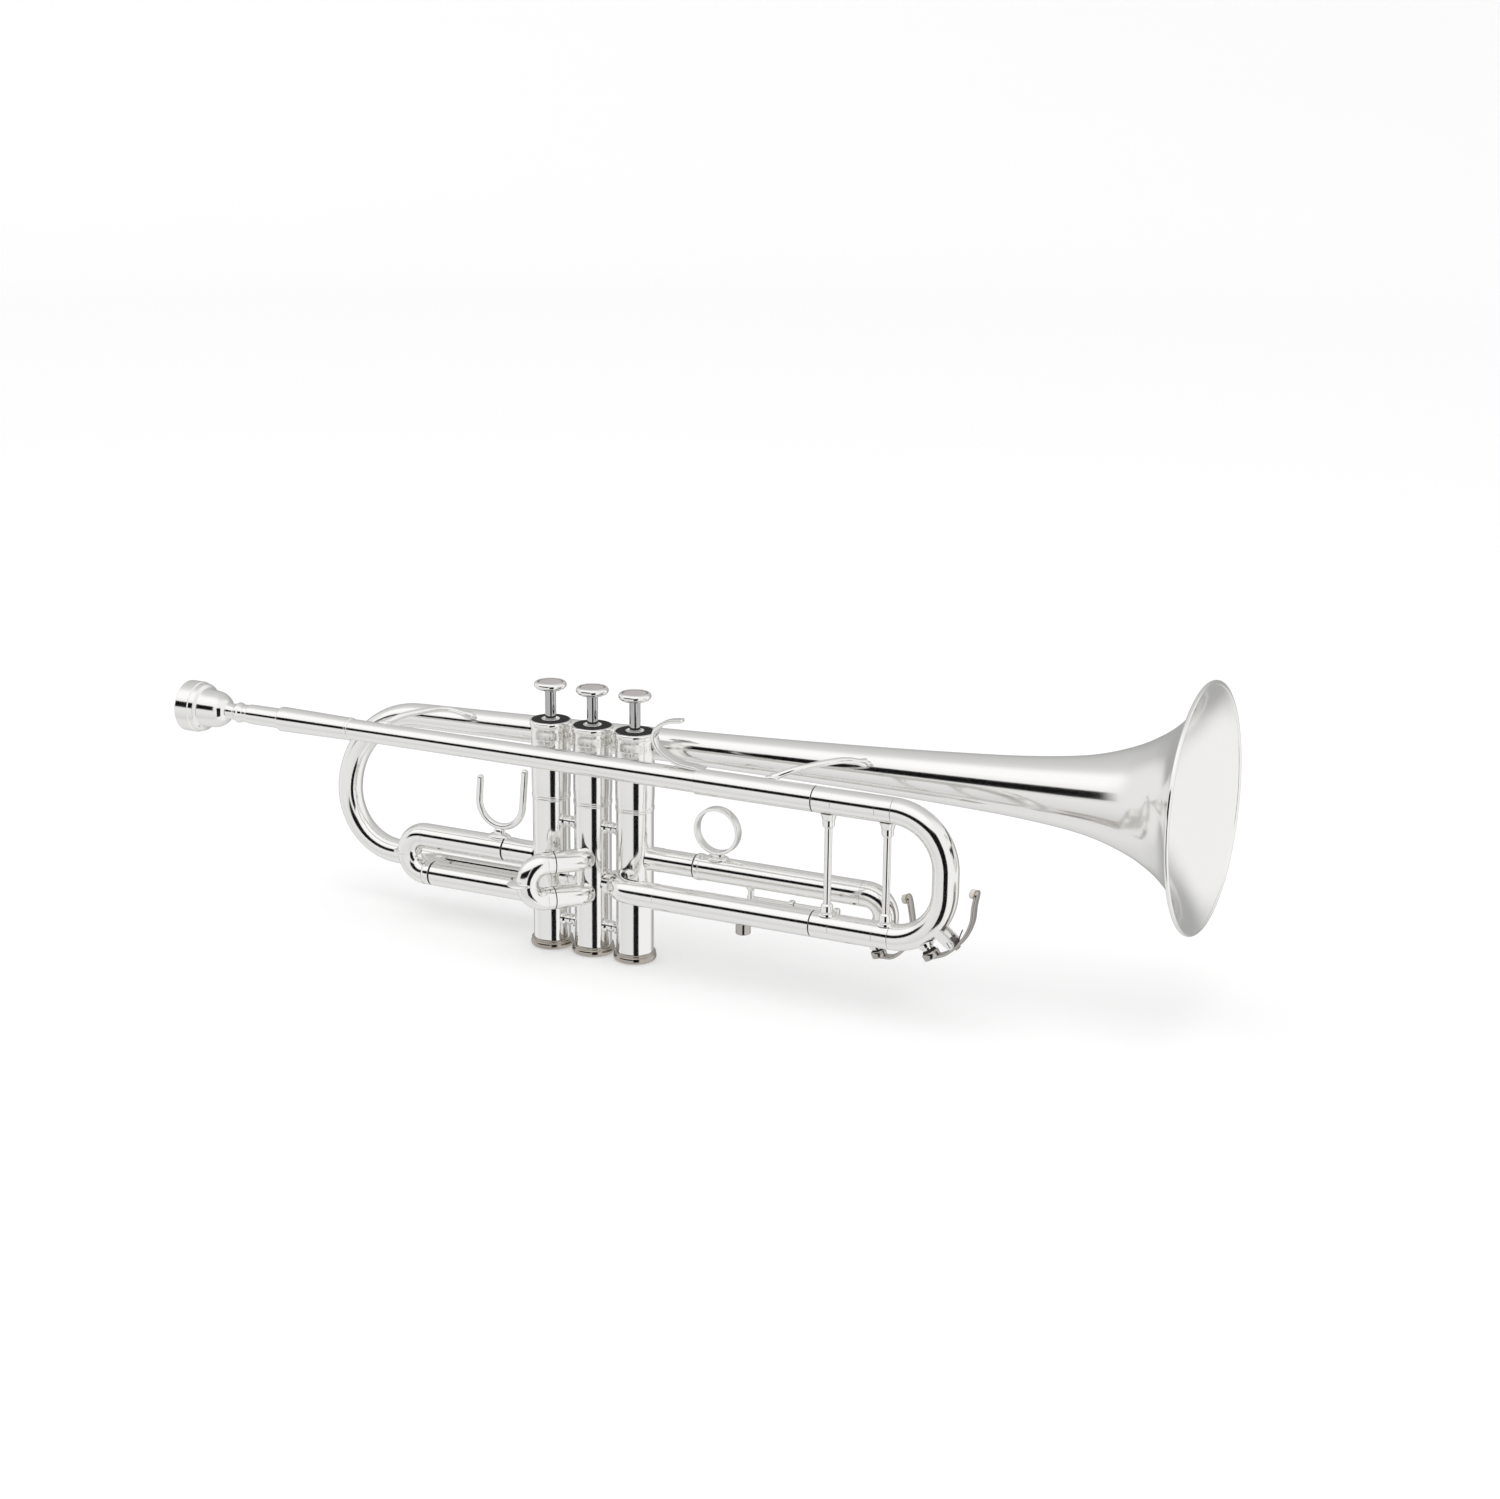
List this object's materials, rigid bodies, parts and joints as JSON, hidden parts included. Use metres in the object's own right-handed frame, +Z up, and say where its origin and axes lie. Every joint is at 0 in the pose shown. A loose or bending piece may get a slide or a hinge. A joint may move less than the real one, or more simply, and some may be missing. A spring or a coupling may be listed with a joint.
{
  "type": "trumpet",
  "caption": "Silver-plated piston trumpet with sliding tuning crooks, spring-returned valves, water keys, finger hook, thumb hook, slide ring and a removable mouthpiece.",
  "frame": {"origin": "on the second valve's axis at the middle of its casing, where the left hand holds the instrument", "axes": "+X along the instrument from mouthpiece to bell, +Y to the player's left, +Z up along the valves"},
  "size_m": [0.5562, 0.133, 0.1784],
  "materials": {
    "silver_plate": "polished silver plate over brass",
    "nickel_cap": "polished nickel silver",
    "nickel_key": "polished nickel silver, darker",
    "steel_stem": "turned steel",
    "monel_piston": "honed monel",
    "spring_steel": "spring wire",
    "black_felt": "pressed felt",
    "pearl": "pearl inlay",
    "cork": "black cork substitute",
    "guide_plastic": "nylon"
  },
  "bodies": {
    "horn": {"valve_casing_1": "silver_plate", "valve_casing_2": "silver_plate", "valve_casing_3": "silver_plate", "valve_guides": "guide_plastic", "top_valve_caps": "silver_plate", "valve_felts": "black_felt", "bottom_valve_caps": "nickel_cap", "casing_braces": "silver_plate", "crossover_knuckles": "silver_plate", "mouthpiece_receiver": "silver_plate", "leadpipe": "silver_plate", "main_slide_sleeves": "silver_plate", "third_valve_elbow": "silver_plate", "finger_hook": "silver_plate", "bell": "silver_plate", "bell_rim": "silver_plate", "bell_bow": "silver_plate", "bell_braces": "silver_plate", "first_slide_fixed_tube": "silver_plate", "first_slide_fixed_sleeve": "silver_plate", "second_slide_sleeves": "silver_plate", "third_slide_fixed_tube": "silver_plate", "third_slide_fixed_sleeve": "silver_plate", "third_slide_stop_fittings": "silver_plate"},
    "mouthpiece": {"mouthpiece": "silver_plate"},
    "valve_1": {"piston_1": "monel_piston", "valve_stem_1": "steel_stem", "finger_button_1": "silver_plate", "button_pearl_1": "pearl", "valve_spring_1": "spring_steel"},
    "valve_2": {"piston_2": "monel_piston", "valve_stem_2": "steel_stem", "finger_button_2": "silver_plate", "button_pearl_2": "pearl", "valve_spring_2": "spring_steel"},
    "valve_3": {"piston_3": "monel_piston", "valve_stem_3": "steel_stem", "finger_button_3": "silver_plate", "button_pearl_3": "pearl", "valve_spring_3": "spring_steel"},
    "main_tuning_slide": {"main_slide_legs": "silver_plate", "main_slide_crook": "silver_plate", "main_water_key_saddle": "silver_plate", "main_slide_braces": "silver_plate"},
    "main_key": {"main_water_key": "nickel_key", "main_water_key_cork": "cork"},
    "first_valve_slide": {"first_slide_sleeve": "silver_plate", "first_slide_inner_leg": "silver_plate", "first_slide_crook": "silver_plate", "thumb_hook": "silver_plate"},
    "second_valve_slide": {"second_slide_legs": "silver_plate", "second_slide_crook": "silver_plate"},
    "third_valve_slide": {"third_slide_sleeve": "silver_plate", "third_slide_inner_leg": "silver_plate", "third_slide_crook": "silver_plate", "third_water_key_saddle": "silver_plate", "third_slide_ring": "silver_plate", "third_slide_stop_rod": "silver_plate"},
    "third_key": {"third_water_key": "nickel_key", "third_water_key_cork": "cork"}
  },
  "joints": [
    {"name": "mouthpiece_pull", "type": "slide", "parent": "horn", "child": "mouthpiece", "axis": [-1, 0, 0], "range_m": [0, 0.03]},
    {"name": "valve_1_press", "type": "slide", "parent": "horn", "child": "valve_1", "axis": [0, 0, -1], "range_m": [0, 0.015], "stiffness_N_per_m": 150, "springref_m": -0.02, "deforming": ["valve_spring_1"]},
    {"name": "valve_2_press", "type": "slide", "parent": "horn", "child": "valve_2", "axis": [0, 0, -1], "range_m": [0, 0.015], "stiffness_N_per_m": 150, "springref_m": -0.02, "deforming": ["valve_spring_2"]},
    {"name": "valve_3_press", "type": "slide", "parent": "horn", "child": "valve_3", "axis": [0, 0, -1], "range_m": [0, 0.015], "stiffness_N_per_m": 150, "springref_m": -0.02, "deforming": ["valve_spring_3"]},
    {"name": "main_slide_pull", "type": "slide", "parent": "horn", "child": "main_tuning_slide", "axis": [1, 0, 0], "range_m": [0, 0.045]},
    {"name": "main_water_key_press", "type": "hinge", "parent": "main_tuning_slide", "child": "main_key", "pos_m": [0.21165, -0.0258, -0.01402], "axis": [0, -1, 0], "range_deg": [0, 12], "stiffness_Nm_per_rad": 0.05, "springref_deg": -22.92},
    {"name": "first_slide_pull", "type": "slide", "parent": "horn", "child": "first_valve_slide", "axis": [-1, 0, 0], "range_m": [0, 0.02]},
    {"name": "second_slide_pull", "type": "slide", "parent": "horn", "child": "second_valve_slide", "axis": [-0.6691, -0.7431, 0], "range_m": [0, 0.012]},
    {"name": "third_slide_pull", "type": "slide", "parent": "horn", "child": "third_valve_slide", "axis": [1, 0, 0], "range_m": [0, 0.02]},
    {"name": "third_water_key_press", "type": "hinge", "parent": "third_valve_slide", "child": "third_key", "pos_m": [0.17448, 0, -0.0274], "axis": [0, -1, 0], "range_deg": [0, 12], "stiffness_Nm_per_rad": 0.04, "springref_deg": -22.92}
  ]
}
